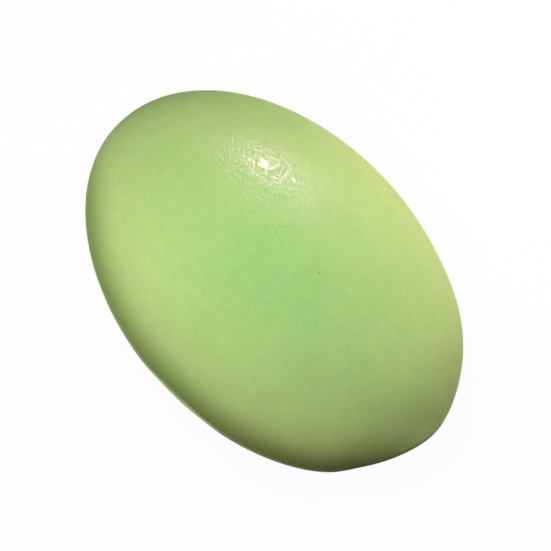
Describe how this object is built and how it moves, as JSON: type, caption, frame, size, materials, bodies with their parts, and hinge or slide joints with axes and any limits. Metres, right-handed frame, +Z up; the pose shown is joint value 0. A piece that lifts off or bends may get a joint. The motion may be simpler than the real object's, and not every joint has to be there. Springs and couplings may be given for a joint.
{
  "type": "shaving soap puck",
  "caption": "Oval puck of hard shaving soap with a domed top, a fine parting ridge round its middle, a rounded underside with a small flat foot, and one end knocked flat.",
  "frame": {"origin": "centre of the flat foot that the puck rests on, under its highest point", "axes": "+Z up, +X along the oval's long axis towards the knocked end, +Y across the oval"},
  "size_m": [0.0797, 0.0556, 0.0395],
  "materials": {
    "soap": "waxy satin, pale green hard soap"
  },
  "bodies": {
    "root": {"soap_puck": "soap"}
  },
  "joints": []
}
